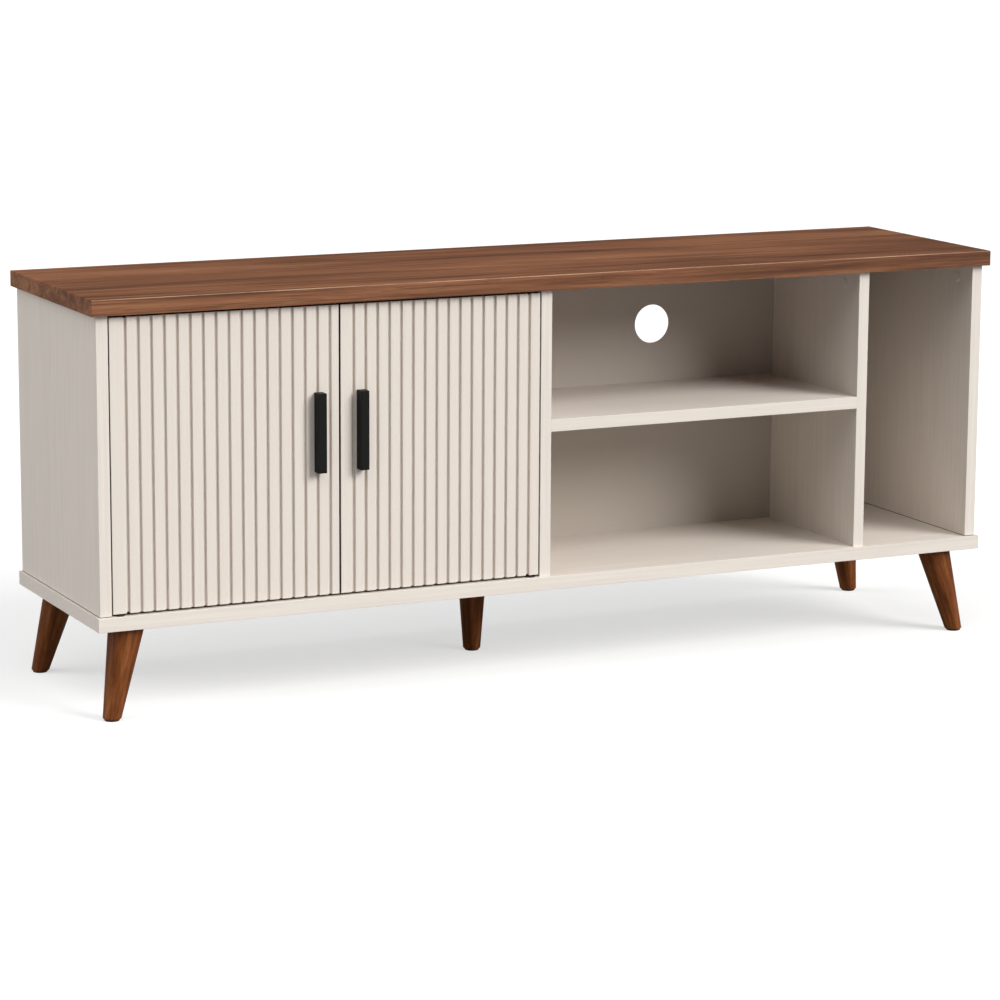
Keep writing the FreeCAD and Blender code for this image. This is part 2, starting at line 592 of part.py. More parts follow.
def wood_screw(name, length):
    """A cross-head countersunk screw whose head is flush at its own origin."""
    whole = joined(f"{name}_whole", rod(f"{name}_shank", SCREW_RADIUS - FIT, length),
                   taper(f"{name}_head", SCREW_HEAD_RADIUS - FIT, SCREW_RADIUS - FIT,
                         SCREW_HEAD_DEPTH))
    arms = [
        block(f"{name}_cross_{way}", (long, wide, CROSS_DEPTH), (-long / 2, -wide / 2, "0"))
        for way, long, wide in (("across", SMALL_CROSS_LENGTH, SMALL_CROSS_WIDTH),
                                ("along", SMALL_CROSS_WIDTH, SMALL_CROSS_LENGTH))]
    return less(name, whole, *arms)


SHOULDER_RADIUS = 3.6
PIN_END_ROOM = 2
BUSH_FLOOR = 0.6
DOOR_ENDS = (("bottom", DOOR_BOTTOM, "door_bottom_gap", -1),
             ("top", f"({DOOR_BOTTOM} + {DOOR_HEIGHT})", "door_top_gap", 1))
for side, across in PIVOTS.items():
    places = []
    screw_spots = []
    for end, up, gap, way in DOOR_ENDS:
        name = f"{side}_pivot_{end}"
        shoulder_length = f"({gap} - flange_thickness - pin_play)"
        pin_length = f"({gap} + bush_depth - {PIN_END_ROOM})"
        low = "0" if way < 0 else f"-{PLATE_THICKNESS}"
        plate = block(f"{name}_plate", (str(PLATE_LENGTH), str(PLATE_WIDTH), str(PLATE_THICKNESS)),
                      (str(-plate_start(side)), f"{PLATE_FRONT} - pivot_along", low))
        shoulder = rod(f"{name}_shoulder", SHOULDER_RADIUS, shoulder_length,
                       f"-{shoulder_length}" if way < 0 else "0")
        pin = rod(f"{name}_pin", "pin_radius", pin_length, f"-{pin_length}" if way < 0 else "0")
        holes = []
        for number, reach in enumerate(plate_screws(side), start=1):
            if way < 0:
                sink = taper(f"{name}_sink_{number}", SCREW_HEAD_RADIUS, SCREW_RADIUS,
                             SCREW_HEAD_DEPTH)
            else:
                sink = taper(f"{name}_sink_{number}", SCREW_RADIUS, SCREW_HEAD_RADIUS,
                             SCREW_HEAD_DEPTH, f"-{SCREW_HEAD_DEPTH}")
            throat = rod(f"{name}_throat_{number}", SCREW_RADIUS, str(PLATE_THICKNESS), low)
            for tool in (sink, throat):
                bind(tool, ".Placement.Base.x", reach)
                bind(tool, ".Placement.Base.y", f"{PLATE_MIDDLE} - pivot_along")
            holes += [sink, throat]
            screw_spots.append((f"({across} + {reach})", f"({DOOR_FRONT} + {PLATE_MIDDLE})",
                                up, "+z" if way < 0 else "-z"))
        solid = less(f"{name}_part", joined(f"{name}_whole", plate, shoulder, pin), *holes)
        places.append((solid, "+z", (across, PIVOT_ALONG, up)))
    group(f"{side}_pivot_plates", places)
    screw = wood_screw(f"{side}_plate_screw", PLATE_SCREW_LENGTH)
    group(f"{side}_pivot_screws", [(screw, way, spot) for *spot, way in screw_spots])

bush = less("bush_part",
            joined("bush_whole", rod("bush_barrel", "bush_radius", "bush_depth", "-bush_depth"),
                   rod("bush_flange", "flange_radius", "flange_thickness")),
            rod("bush_bore", "pin_radius + pin_play",
                f"bush_depth - {BUSH_FLOOR} + flange_thickness", f"-bush_depth + {BUSH_FLOOR}"))
group("pivot_bushes", [
    (bush, way, (across, PIVOT_ALONG, up))
    for across in PIVOTS.values() for way, up in (("+z", FLOOR_BOARD), ("-z", CEILING))])

# ------------------------------------------------- magnetic catch where the doors meet, up high
CATCH_MIDDLE = f"({LEFT_DOOR} + left_door_width + door_middle_gap / 2)"
STRIKE_BACK = f"({DOOR_FRONT} + door_thickness)"
CATCH_LENGTH = 56
CATCH_DEPTH = 16
CATCH_HEIGHT = 14
CATCH_ROUND = 1
CATCH_GAP = 0.3
CATCH_SCREW_LENGTH = 26
MAGNET_LENGTH = 18
MAGNET_DEPTH = 10
MAGNET_HEIGHT = 7
MAGNET_INSET = 6
MAGNET_UP = 3
STRIKE_SIZE = 16
STRIKE_THICKNESS = 1.2
STRIKE_ROUND = 2
STRIKE_DROP = 7
STRIKE_SCREW_UP = 4
STRIKE_SCREW_LENGTH = 9
STRIKE_HEAD_RADIUS = 2.6
STRIKE_HEAD_DEPTH = 0.25
CATCH_FRONT = f"({STRIKE_BACK} + {STRIKE_THICKNESS} + {CATCH_GAP})"
CATCH_UNDER = f"({CEILING} - {CATCH_HEIGHT})"
catch = new_body("door_catch")
stand_at(catch, f"{CATCH_MIDDLE} - {CATCH_LENGTH / 2}", CATCH_FRONT, CATCH_UNDER)
case = add_box(catch, "catch_case", (str(CATCH_LENGTH), str(CATCH_DEPTH), str(CATCH_HEIGHT)))
soften(catch, case, "catch_arris",
       lambda middle, edge, box: near(middle.z, box.ZMin) and not near(middle.y, box.YMax),
       CATCH_ROUND)
MAGNET_OFFSETS = (MAGNET_INSET, CATCH_LENGTH - MAGNET_INSET - MAGNET_LENGTH)
for number, offset in enumerate(MAGNET_OFFSETS, start=1):
    cut_box(catch, f"catch_pocket_{number}", (MAGNET_LENGTH, MAGNET_DEPTH, MAGNET_HEIGHT),
            (offset, "0", MAGNET_UP))
drill(catch, "catch_screw_hole", SCREW_RADIUS, str(CATCH_HEIGHT),
      (str(CATCH_LENGTH / 2), str(CATCH_DEPTH / 2), "0"), "+z")
countersink(catch, "catch_countersink", (str(CATCH_LENGTH / 2), str(CATCH_DEPTH / 2), "0"), "+z")
magnet = block("magnet_part", (MAGNET_LENGTH, MAGNET_DEPTH, MAGNET_HEIGHT), ("0", "0", "0"))
group("catch_magnets", [
    (magnet, "+z", (f"{CATCH_MIDDLE} - {CATCH_LENGTH / 2} + {offset}", CATCH_FRONT,
                    f"{CATCH_UNDER} + {MAGNET_UP}")) for offset in MAGNET_OFFSETS])
catch_screw = wood_screw("catch_screw_part", CATCH_SCREW_LENGTH)
group("catch_screw", [(catch_screw, "+z", (CATCH_MIDDLE, f"{CATCH_FRONT} + {CATCH_DEPTH / 2}",
                                           CATCH_UNDER))])
drill(top, "top_catch_screw_hole", SCREW_RADIUS, CATCH_SCREW_LENGTH + ROOM - CATCH_HEIGHT,
      (f"{CATCH_MIDDLE} - {TOP_LEFT}", f"{CATCH_FRONT} + {CATCH_DEPTH / 2} - {TOP_FRONT}", "0"),
      "+z")
MAGNET_FROM_MIDDLE = CATCH_LENGTH / 2 - MAGNET_INSET - MAGNET_LENGTH / 2
for side, way in (("left", -1), ("right", 1)):
    strike = new_body(f"{side}_strike_plate")
    start = f"({CATCH_MIDDLE} + {way * MAGNET_FROM_MIDDLE - STRIKE_SIZE / 2})"
    up = f"({CATCH_UNDER} - {STRIKE_DROP})"
    stand_at(strike, start, STRIKE_BACK, up)
    plate = add_box(strike, f"{side}_strike_sheet",
                    (str(STRIKE_SIZE), str(STRIKE_THICKNESS), str(STRIKE_SIZE)))
    soften(strike, plate, f"{side}_strike_corners", lambda middle, edge, box: edge.YLength > 1,
           STRIKE_ROUND)
    drill(strike, f"{side}_strike_hole", SCREW_RADIUS, str(STRIKE_THICKNESS),
          (STRIKE_SIZE / 2, "0", STRIKE_SCREW_UP), "+y")
    strike_screw = joined(
        f"{side}_strike_screw_part",
        rod(f"{side}_strike_shank", SCREW_RADIUS - FIT, STRIKE_SCREW_LENGTH),
        rod(f"{side}_strike_head", STRIKE_HEAD_RADIUS, STRIKE_HEAD_DEPTH, -STRIKE_HEAD_DEPTH))
    group(f"{side}_strike_screw", [(strike_screw, "-y", (
        f"{start} + {STRIKE_SIZE / 2}", f"{STRIKE_BACK} + {STRIKE_THICKNESS}",
        f"{up} + {STRIKE_SCREW_UP}"))])
    door = doc.getObject(f"{side}_door")
    door_left = LEFT_DOOR if side == "left" else RIGHT_DOOR
    drill(door, f"{side}_door_strike_hole", SCREW_RADIUS, STRIKE_SCREW_LENGTH,
          (f"{start} + {STRIKE_SIZE / 2} - {door_left}", "door_thickness",
           f"{up} + {STRIKE_SCREW_UP} - {DOOR_BOTTOM}"), "-y")

# ------------------------------------------------------------- cams, their bolts and covers
CAM_PLAY = 0.1
CAM_BORE_RADIUS = 4.2
CAM_SLOT_LENGTH = 9
CAM_SLOT_WIDTH = 1.6
CAM_SLOT_DEPTH = 2
COVER_RADIUS = 8.6
COVER_THICKNESS = 0.7
COVER_SLOPE = 0.9
BOLT_SHANK_LENGTH = 18
BOLT_NECK_RADIUS = 1.8
BOLT_NECK_LENGTH = 4
BOLT_HEAD_RADIUS = 3.3
BOLT_HEAD_LENGTH = 4


def bore_across(name, radius, deep):
    """A long rod across a part's own axis, at the given depth below its face."""
    tool = doc.addObject("Part::Cylinder", name)
    bind(tool, "Radius", radius)
    bind(tool, "Height", "4 * cam_radius")
    tool.Placement = FreeCAD.Placement(Vector(0, 0, 0), Rotation(Vector(0, 0, 1), Vector(1, 0, 0)))
    stand_at(tool, "-2 * cam_radius", "0", f"-({deep})")
    return tool


cam = less("cam_part",
           rod("cam_barrel", f"cam_radius - {CAM_PLAY}", f"cam_depth - 2 * {CAM_PLAY}",
               f"-(cam_depth - 2 * {CAM_PLAY})"),
           bore_across("cam_bolt_bore", CAM_BORE_RADIUS, "panel_thickness / 2"),
           block("cam_slot_across", (CAM_SLOT_LENGTH, CAM_SLOT_WIDTH, CAM_SLOT_DEPTH),
                 (-CAM_SLOT_LENGTH / 2, -CAM_SLOT_WIDTH / 2, -CAM_SLOT_DEPTH)),
           block("cam_slot_along", (CAM_SLOT_WIDTH, CAM_SLOT_LENGTH, CAM_SLOT_DEPTH),
                 (-CAM_SLOT_WIDTH / 2, -CAM_SLOT_LENGTH / 2, -CAM_SLOT_DEPTH)))
cover = joined("cover_part", rod("cover_disc", COVER_RADIUS, COVER_THICKNESS),
               taper("cover_dome", COVER_RADIUS, COVER_RADIUS - COVER_SLOPE, COVER_THICKNESS,
                     COVER_THICKNESS))
NECK_START = -BOLT_SHANK_LENGTH - BOLT_NECK_LENGTH
bolt = joined("cam_bolt_part",
              rod("bolt_thread", BOLT_THREAD_RADIUS - FIT, BOLT_THREAD_LENGTH - ROOM),
              rod("bolt_shank", BOLT_SHANK_RADIUS, BOLT_SHANK_LENGTH, -BOLT_SHANK_LENGTH),
              rod("bolt_neck", BOLT_NECK_RADIUS, BOLT_NECK_LENGTH, NECK_START),
              rod("bolt_head", BOLT_HEAD_RADIUS, BOLT_HEAD_LENGTH, NECK_START - BOLT_HEAD_LENGTH))
cam_places = []
bolt_places = []
dowel_places = []
for label, (across, cam_side) in UPRIGHTS.items():
    face = f"({across} + panel_thickness)" if cam_side == "+x" else across
    for along in CAM_ROWS:
        cam_places.append((cam_side, (face, f"{FRONT} + {along}", f"{CEILING} - cam_back")))
        bolt_places.append((bolt, "+z", (upright_middle(label), f"{FRONT} + {along}", CEILING)))
    for along in DOWEL_ROWS:
        for up in (f"{CEILING} - {DOWEL_LONG_END}", f"{FLOOR_BOARD} - {DOWEL_SHORT_END}"):
            dowel_places.append(("+z", (upright_middle(label), f"{FRONT} + {along}", up)))
SHELF_MIDDLE = f"({SHELF_UNDER} + shelf_thickness / 2)"
for face, way, inward in ((MEDIA_LEFT, "-x", 1), (MEDIA_RIGHT, "+x", -1)):
    for along in SHELF_ROWS:
        cam_places.append(("-z", (f"{face} + {inward} * cam_back", f"{FRONT} + {along}", SHELF_UNDER)))
        bolt_places.append((bolt, way, (face, f"{FRONT} + {along}", SHELF_MIDDLE)))
    for along in SHELF_DOWEL_ROWS:
        dowel_places.append((way, (f"{face} + {inward} * {DOWEL_LONG_END}", f"{FRONT} + {along}",
                                   SHELF_MIDDLE)))
group("cam_locks", [(cam, way, place) for way, place in cam_places])
group("cam_covers", [(cover, way, place) for way, place in cam_places])
group("cam_bolts", bolt_places)
dowel = rod("dowel_part", f"dowel_radius - {FIT}", "dowel_length")
group("dowels", [(dowel, way, place) for way, place in dowel_places])

# ------------------------------------- long screws up through the bottom board, and their caps
SOCKET_SIDES = 6
SOCKET_RADIUS = 2.3
SOCKET_DEPTH = 2.5
CAP_RADIUS = 6.4
CAP_SLOPE = 0.8
CAP_STEP = 0.5
socket = doc.addObject("Part::Prism", "screw_socket")
socket.Polygon = SOCKET_SIDES
socket.Circumradius = SOCKET_RADIUS
socket.Height = SOCKET_DEPTH
THREAD_START = f"(bottom_thickness - {CONFIRMAT_SINK})"
long_screw = less("long_screw_part", joined(
    "long_screw_whole", rod("long_screw_head", CONFIRMAT_HEAD_RADIUS - FIT, CONFIRMAT_HEAD_DEPTH),
    rod("long_screw_shank", CONFIRMAT_RADIUS - FIT, THREAD_START),
    rod("long_screw_thread", CONFIRMAT_THREAD_RADIUS - FIT,
        f"{CONFIRMAT_LENGTH} - {THREAD_START}", THREAD_START)), socket)
cap = joined("screw_cap_part", rod("cap_disc", CAP_RADIUS, CAP_STEP, -CAP_STEP),
             taper("cap_dome", CAP_RADIUS - CAP_SLOPE, CAP_RADIUS, CAP_STEP, -2 * CAP_STEP))
screw_spots = [(upright_middle(label), f"{FRONT} + {along}")
               for label in UPRIGHTS for along in CONFIRMAT_ROWS]
group("long_screws", [(long_screw, "+z", (*spot, f"leg_height + {CONFIRMAT_SINK}"))
                      for spot in screw_spots])
group("screw_caps", [(cap, "+z", (*spot, "leg_height")) for spot in screw_spots])
back_screw = wood_screw("back_screw_part", SCREW_LENGTH)
group("back_screws", [(back_screw, "-y", place) for place in screw_places])

# ------------------------------------------------------------------ pins for the loose shelf
support = joined("shelf_pin_part",
                 rod("shelf_pin_shank", f"shelf_pin_radius - {FIT}", SHELF_PIN_LENGTH),
                 rod("shelf_pin_stub", "shelf_stub_radius", SHELF_PIN_LENGTH, -SHELF_PIN_LENGTH))
group("shelf_pins", [
    (support, way, (face, f"{FRONT} + {along}", f"{FLOOR_BOARD} + {SHELF_PIN_UP}"))
    for face, way in ((CABINET_LEFT, "-x"), (CABINET_RIGHT, "+x")) for along in SHELF_PIN_ROWS])

# ------------------------------------------- five tapered legs, their bolts, inserts and glides
HANGER_RADIUS = 4
HANGER_IN_LEG = 26
HANGER_IN_BOARD = 16
NAIL_RADIUS = 1
NAIL_LENGTH = 12
GLIDE_BEVEL = 1


def ring_sketch(body, name, radius, across="0", along="0", up="0"):
    """Sketch a leg's round section at the given shift from the middle of its top."""
    sketch = body.newObject("Sketcher::SketchObject", name)
    sketch.AttachmentSupport = (origin_plane(body, "XY_Plane"), [""])
    sketch.MapMode = "FlatFace"
    for axis, text in zip("xyz", (across, along, up)):
        bind(sketch, f".AttachmentOffset.Base.{axis}", text)
    sketch.addGeometry(Part.Circle(Vector(0, 0, 0), Vector(0, 0, 1), DIMENSIONS[radius]))
    sketch.addConstraint(Sketcher.Constraint("Coincident", 0, 3, -1, 1))
    number = sketch.addConstraint(Sketcher.Constraint("Radius", 0, DIMENSIONS[radius]))
    bind(sketch, f"Constraints[{number}]", radius)
    return sketch


foot_places = []
for label, (across, along, side, end) in LEGS.items():
    leg = new_body(label)
    stand_at(leg, across, along, "leg_height")
    top_radius = "centre_leg_radius" if label == "centre_leg" else "leg_top_radius"
    foot = (f"{side} * leg_splay_across", f"{end} * leg_splay_along",
            "glide_thickness - leg_height")
    crown = ring_sketch(leg, f"{label}_top_ring", top_radius)
    base = ring_sketch(leg, f"{label}_foot_ring", "leg_foot_radius", *foot)
    cone = leg.newObject("PartDesign::AdditiveLoft", f"{label}_cone")
    cone.Profile = crown
    cone.Sections = [base]
    soften(leg, cone, f"{label}_foot_round",
           lambda middle, edge, box: edge.ZMax < box.ZMin + 1, "leg_foot_round")
    drill(leg, f"{label}_bolt_hole", HANGER_RADIUS, HANGER_IN_LEG + ROOM, ("0", "0", "0"), "-z")
    drill(leg, f"{label}_nail_hole", NAIL_RADIUS, NAIL_LENGTH + ROOM, foot, "+z")
    foot_places.append((f"{across} + {foot[0]}", f"{along} + {foot[1]}", "0"))
hanger = rod("hanger_part", HANGER_RADIUS - FIT, HANGER_IN_LEG + HANGER_IN_BOARD, -HANGER_IN_LEG)
insert = less("insert_part", rod("insert_barrel", INSERT_RADIUS - FIT, INSERT_LENGTH - ROOM),
              rod("insert_bore", HANGER_RADIUS + FIT, INSERT_LENGTH - ROOM))
glide = joined("glide_part",
               rod("glide_disc", "glide_radius", f"glide_thickness - {GLIDE_BEVEL}", GLIDE_BEVEL),
               taper("glide_rim", f"glide_radius - {GLIDE_BEVEL}", "glide_radius", GLIDE_BEVEL),
               rod("glide_nail", NAIL_RADIUS - FIT, NAIL_LENGTH, "glide_thickness"))
leg_places = [(across, along, "leg_height") for across, along, _, _ in LEGS.values()]
group("leg_bolts", [(hanger, "+z", place) for place in leg_places])
group("leg_inserts", [(insert, "+z", place) for place in leg_places])
group("leg_glides", [(glide, "+z", place) for place in foot_places])

# -------------------------------------------------------------- check everything, then write it
doc.recompute()
for thing in doc.Objects:
    if "Invalid" in thing.State or "Error" in thing.State:
        raise RuntimeError(f"{thing.Name} did not build: {thing.State}")
os.makedirs("parts", exist_ok=True)
for node in nodes:
    if node.Shape.isNull() or not node.Shape.isValid() or not node.Shape.Solids:
        raise RuntimeError(f"{node.Label} is not a sound solid")
for node in nodes:
    node.Shape.exportStep(f"parts/{node.Label}.step")
    print(node.Label, len(node.Shape.Solids), round(node.Shape.Volume / 1000, 2), "cm3")
print(len(nodes), "nodes")
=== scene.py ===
import math

import bpy
from mathutils import Matrix, Vector


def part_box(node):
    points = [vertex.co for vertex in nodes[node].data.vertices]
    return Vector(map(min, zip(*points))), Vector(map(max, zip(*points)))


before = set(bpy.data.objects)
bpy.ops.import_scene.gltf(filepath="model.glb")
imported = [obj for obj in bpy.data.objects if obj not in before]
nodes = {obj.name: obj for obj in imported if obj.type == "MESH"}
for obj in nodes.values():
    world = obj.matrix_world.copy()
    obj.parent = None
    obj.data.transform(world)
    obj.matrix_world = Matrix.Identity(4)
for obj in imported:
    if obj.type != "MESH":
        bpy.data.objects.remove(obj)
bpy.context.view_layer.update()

bpy.ops.object.select_all(action="DESELECT")

# Camera: a long lens to the left of the stand and a little above it, looking down at the corner
# nearest the doors. Its three turns are in radians.
camera_place = Vector((-2.534, -5.256, 1.378))
turned_right = 0.44539
tipped_down = 0.19004
rolled = 0.00541
bpy.ops.object.camera_add(location=camera_place)
camera = bpy.context.object
camera.name = "camera"
camera.matrix_world = (Matrix.Translation(camera_place) @ Matrix.Rotation(-turned_right, 4, "Z")
                       @ Matrix.Rotation(math.pi / 2 - tipped_down, 4, "X")
                       @ Matrix.Rotation(rolled, 4, "Z"))
camera.data.lens = 128.4
camera.data.sensor_width = 36
camera.data.clip_end = 60
bpy.context.scene.camera = camera


# Studio: three wide soft lights, one overhead, the strongest in front on the right and a weak one
# low on the left. The white surround gives a little light from all sides, and the camera sees it
# brighter than that.
def soft_light(name, strength, spread, towards_light, colour):
    bpy.ops.object.light_add(type="SUN")
    lamp = bpy.context.object
    lamp.name = name
    lamp.data.energy = strength
    lamp.data.angle = math.radians(spread)
    lamp.data.color = colour
    lamp.rotation_euler = Vector(towards_light).to_track_quat("Z", "Y").to_euler()


soft_light("overhead_light", 1.4, 60, (-0.4, -0.32, 1), (1, 1, 1))
soft_light("key_light", 3.35, 34, (0.68, -0.85, 0.64), (1, 0.995, 0.985))
soft_light("side_light", 1.2, 40, (-1, 0.38, 0.42), (1, 1, 1))


def tint(red, green, blue):
    return (red, green, blue, 1)


class Value:
    """One shader value that takes part in plain sums."""

    def __init__(self, finish, socket):
        self.finish = finish
        self.socket = socket

    def __add__(self, other):
        return self.finish.reckon("ADD", self, other)

    def __radd__(self, other):
        return self.finish.reckon("ADD", other, self)

    def __sub__(self, other):
        return self.finish.reckon("SUBTRACT", self, other)

    def __rsub__(self, other):
        return self.finish.reckon("SUBTRACT", other, self)

    def __mul__(self, other):
        return self.finish.reckon("MULTIPLY", self, other)

    def __rmul__(self, other):
        return self.finish.reckon("MULTIPLY", other, self)

    def __lt__(self, other):
        return self.finish.reckon("LESS_THAN", self, other)

    def __gt__(self, other):
        return self.finish.reckon("GREATER_THAN", self, other)


class Nodes:
    """A node tree that is filled one node at a time."""

    def __init__(self, tree):
        self.tree = tree

    def add(self, kind, settings, inputs, output=0):
        node = self.tree.nodes.new(kind)
        stops = settings.pop("stops", [])
        for name, setting in settings.items():
            setattr(node, name, setting)
        for number, (place, shade) in enumerate(stops):
            if number > 1:
                node.color_ramp.elements.new(place)
            node.color_ramp.elements[number].position = place
            node.color_ramp.elements[number].color = tint(*shade)
        for name, content in inputs.items():
            self.feed(node.inputs[name], content)
        return Value(self, node.outputs[output])

    def feed(self, socket, content):
        if isinstance(content, Value):
            self.tree.links.new(content.socket, socket)
        else:
            socket.default_value = content


surround = bpy.data.worlds.new("surround")
bpy.context.scene.world = surround
surround.use_nodes = True
sky = Nodes(surround.node_tree)
sky.tree.nodes.remove(sky.tree.nodes["Background"])
lighting = sky.add("ShaderNodeBackground", {}, {"Color": tint(1, 1, 1), "Strength": 0.12})
backdrop = sky.add("ShaderNodeBackground", {}, {"Color": tint(1, 1, 1), "Strength": 1.0})
seen_directly = sky.add("ShaderNodeLightPath", {}, {}, "Is Camera Ray")
sky_look = sky.add("ShaderNodeMixShader", {}, {"Fac": seen_directly, 1: lighting, 2: backdrop})
sky.feed(sky.tree.nodes["World Output"].inputs["Surface"], sky_look)
bpy.context.scene.view_settings.view_transform = "Standard"


# Floor: one pale matt sheet, wide enough to run out of sight. The camera sees it near white, while
# it throws little light back up at the stand.
class Finish(Nodes):
    """A material, with the patterns and sums that the pieces share."""

    def __init__(self, name):
        self.material = bpy.data.materials.new(name)
        self.material.use_nodes = True
        super().__init__(self.material.node_tree)
        self.shader = self.tree.nodes["Principled BSDF"]

    def reckon(self, operation, first, second):
        return self.add("ShaderNodeMath", {"operation": operation}, {0: first, 1: second})

    def stretched(self, where, stretch, shift=(0, 0, 0)):
        return self.add("ShaderNodeMapping", {}, {
            "Vector": where, "Location": shift, "Scale": stretch})

    def place(self, stretch=(1, 1, 1), shift=(0, 0, 0)):
        return self.stretched(self.add("ShaderNodeTexCoord", {}, {}, "Object"), stretch, shift)

    def along(self, axis):
        return self.add("ShaderNodeSeparateXYZ", {}, {"Vector": self.place()}, axis)

    def noise(self, where, detail=2.0, rough=0.5, twist=0.0):
        return self.add("ShaderNodeTexNoise", {}, {
            "Vector": where, "Scale": 1.0, "Detail": detail, "Roughness": rough,
            "Distortion": twist})

    def ramp(self, value, *stops):
        return self.add("ShaderNodeValToRGB", {"stops": stops}, {"Fac": value})

    def span(self, value, low, high):
        return self.add("ShaderNodeMapRange", {}, {
            "Value": value, "From Min": low, "From Max": high})

    def mix(self, amount, first, second, blend="MIX"):
        return self.add("ShaderNodeMix", {"data_type": "RGBA", "blend_type": blend},
                        {0: amount, 6: first, 7: second}, 2)

    def tinged(self, amount, shade, colour):
        return self.mix(amount, shade, self.mix(1.0, shade, colour, "MULTIPLY"))

    def bump(self, height, strength, distance):
        return self.add("ShaderNodeBump", {}, {
            "Height": height, "Strength": strength, "Distance": distance})

    def surface(self, **sockets):
        for name, content in sockets.items():
            self.feed(self.shader.inputs[name.replace("_", " ")], content)
        return self.material


bpy.ops.mesh.primitive_grid_add(x_subdivisions=2, y_subdivisions=2, size=60)
floor = bpy.context.object
floor.name = "floor"
sheet = Finish("pale_floor")
mottle = sheet.noise(sheet.place((3, 3, 3)))
pale = sheet.mix(mottle, tint(0.49, 0.49, 0.49), tint(0.51, 0.51, 0.51))
sheet.surface(Base_Color=pale, Roughness=0.8, Specular_IOR_Level=0.1,
              Emission_Color=tint(1, 1, 1), Emission_Strength=0.55)
dull = sheet.add("ShaderNodeBsdfDiffuse", {}, {"Color": tint(0.3, 0.3, 0.3)})
straight = sheet.add("ShaderNodeLightPath", {}, {}, "Is Camera Ray")
bright = Value(sheet, sheet.shader.outputs["BSDF"])
floor_look = sheet.add("ShaderNodeMixShader", {}, {"Fac": straight, 1: dull, 2: bright})
sheet.feed(sheet.tree.nodes["Material Output"].inputs["Surface"], floor_look)
floor.data.materials.append(sheet.material)

# Carcass boards: particle board, 16 to 22 mm thick, faced in cream laminate with a faint straight
# grain and joined by cams, dowels and long screws. Each front edge is banded, a hair paler than the
# face, beside a fine joint line. A near-black painted shade runs along the foot of each side panel,
# where it meets the bottom board.
cream = (0.735, 0.672, 0.610)
band_thickness = 0.0012
joint_width = 0.00042
foot_shade_height = 0.0011
grain_upright = (170, 170, 3.5)
grain_lengthwise = (3.5, 170, 170)


def shade_of(base, share):
    return tint(*[share * part for part in base])


def coat(material, *names):
    for name in names:
        for slot in nodes[name].material_slots:
            slot.material = material


def cream_laminate(name, stretch, edge_at, foot_shade_at=None):
    board = Finish(name)
    grain = board.noise(board.place(stretch), 5.0, 0.62, 0.3)
    fleck = board.noise(board.place([3 * share for share in stretch]), 3.0, 0.6)
    cloud = board.noise(board.place((2.4, 2.4, 2.4)))
    face = board.mix(board.span(0.6 * grain + 0.4 * fleck, 0.36, 0.64),
                     shade_of(cream, 0.93), shade_of(cream, 1.03))
    face = board.tinged(0.5 * cloud, face, tint(0.985, 0.97, 0.95))
    depth = board.along("Y")
    band_end = edge_at + band_thickness
    joint = (depth > band_end) * (depth < band_end + joint_width)
    face = board.mix(0.35 * joint, face, shade_of(cream, 0.55))
    face = board.tinged(depth < band_end, face, tint(1.03, 1.035, 1.04))
    if foot_shade_at is not None:
        # Painted shade: a near-black line along the foot of the side panel, where it meets the
        # bottom board.
        face = board.mix(board.along("Z") < foot_shade_at + foot_shade_height, face, tint(0.05, 0.04, 0.032))
    return board.surface(Base_Color=face, Roughness=0.46 + 0.1 * grain,
                         Specular_IOR_Level=0.35, Normal=board.bump(grain, 0.08, 0.0002))


side_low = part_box("left_side_panel")[0]
coat(cream_laminate("cream_side_panel", grain_upright, side_low.y, side_low.z),
     "left_side_panel", "right_side_panel")
coat(cream_laminate("cream_divider", grain_upright, side_low.y),
     "cabinet_divider", "tall_bay_divider")
coat(cream_laminate("cream_bottom_board", grain_lengthwise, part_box("bottom_board")[0].y),
     "bottom_board")
coat(cream_laminate("cream_media_shelf", grain_lengthwise, side_low.y), "media_shelf")
coat(cream_laminate("cream_cabinet_shelf", grain_lengthwise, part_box("cabinet_shelf")[0].y),
     "cabinet_shelf")


# Backs: 3 mm hardboard, lacquered cream on the side that faces the bays and raw brown fibre behind.
# That cream is set darker than the boards' cream, as painted shade deep in the bays.
# Those of the cabinet and the tall bay are screwed on from the rear.
def back_finish(name):
    board = Finish(f"{name}_finish")
    low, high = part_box(name)
    fibre = board.noise(board.place((900, 900, 900)), 3.0, 0.6)
    blotch = board.noise(board.place((9, 9, 9)), 3.0)
    shreds = board.noise(board.place((110, 110, 210)), 5.0, 0.7, 1.5)
    raw = board.mix(board.span(fibre, 0.3, 0.7), tint(0.25, 0.145, 0.075), tint(0.36, 0.225, 0.125))
    raw = board.mix(board.span(blotch, 0.35, 0.65), raw, tint(0.22, 0.125, 0.065))
    raw = board.mix(0.6 * board.span(shreds, 0.52, 0.66), raw, tint(0.13, 0.07, 0.035))
    raw = board.mix(0.5 * board.span(shreds, 0.46, 0.34), raw, tint(0.44, 0.30, 0.18))
    # Painted shade: the bay side's cream is darker than the boards' cream, for the shade deep in
    # the bays.
    lacquer_with_painted_shade = board.mix(board.span(fibre, 0.35, 0.65), tint(0.50, 0.445, 0.39),
                        tint(0.53, 0.475, 0.42))
    behind = board.along("Y") > (low.y + high.y) / 2
    return board.surface(Base_Color=board.mix(behind, lacquer_with_painted_shade, raw),
                         Roughness=0.55 + 0.2 * behind, Specular_IOR_Level=0.3,
                         Normal=board.bump(fibre, 0.08, 0.0002))


for back in ("media_back_panel", "cabinet_back_panel", "tall_bay_back_panel"):
    coat(back_finish(back), back)
